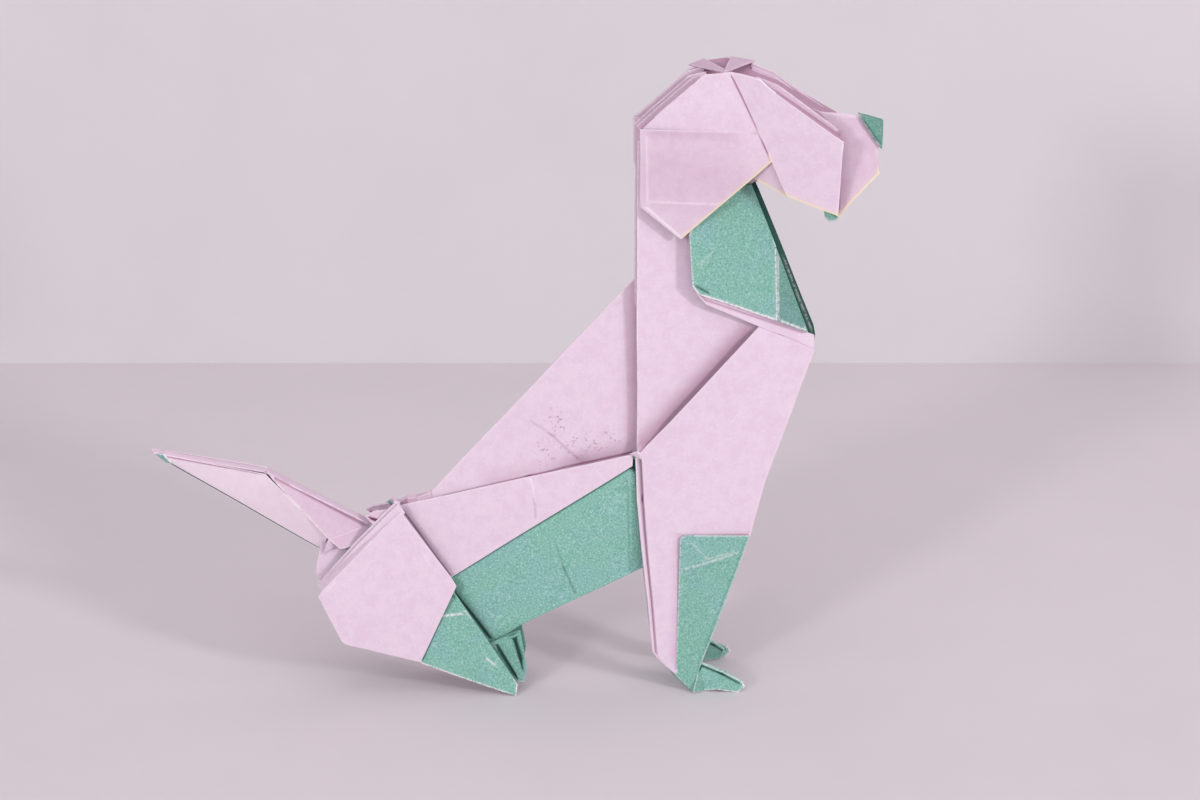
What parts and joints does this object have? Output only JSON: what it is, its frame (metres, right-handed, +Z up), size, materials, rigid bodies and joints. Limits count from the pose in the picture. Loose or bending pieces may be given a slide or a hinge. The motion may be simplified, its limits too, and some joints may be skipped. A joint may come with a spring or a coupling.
{
  "type": "origami dog",
  "caption": "Sitting dog folded from one square of two-coloured paper, pink outside and green inside, standing on its feet.",
  "frame": {"origin": "on the table under the middle of the dog's bounding box", "axes": "+X from the tail to the nose, +Z up, -Y towards the side the picture shows (the dog's right side)"},
  "size_m": [0.0939, 0.0124, 0.0844],
  "materials": {
    "paper": "matte uncoated paper"
  },
  "bodies": {
    "root": {"folded_sheet": "paper"}
  },
  "joints": []
}
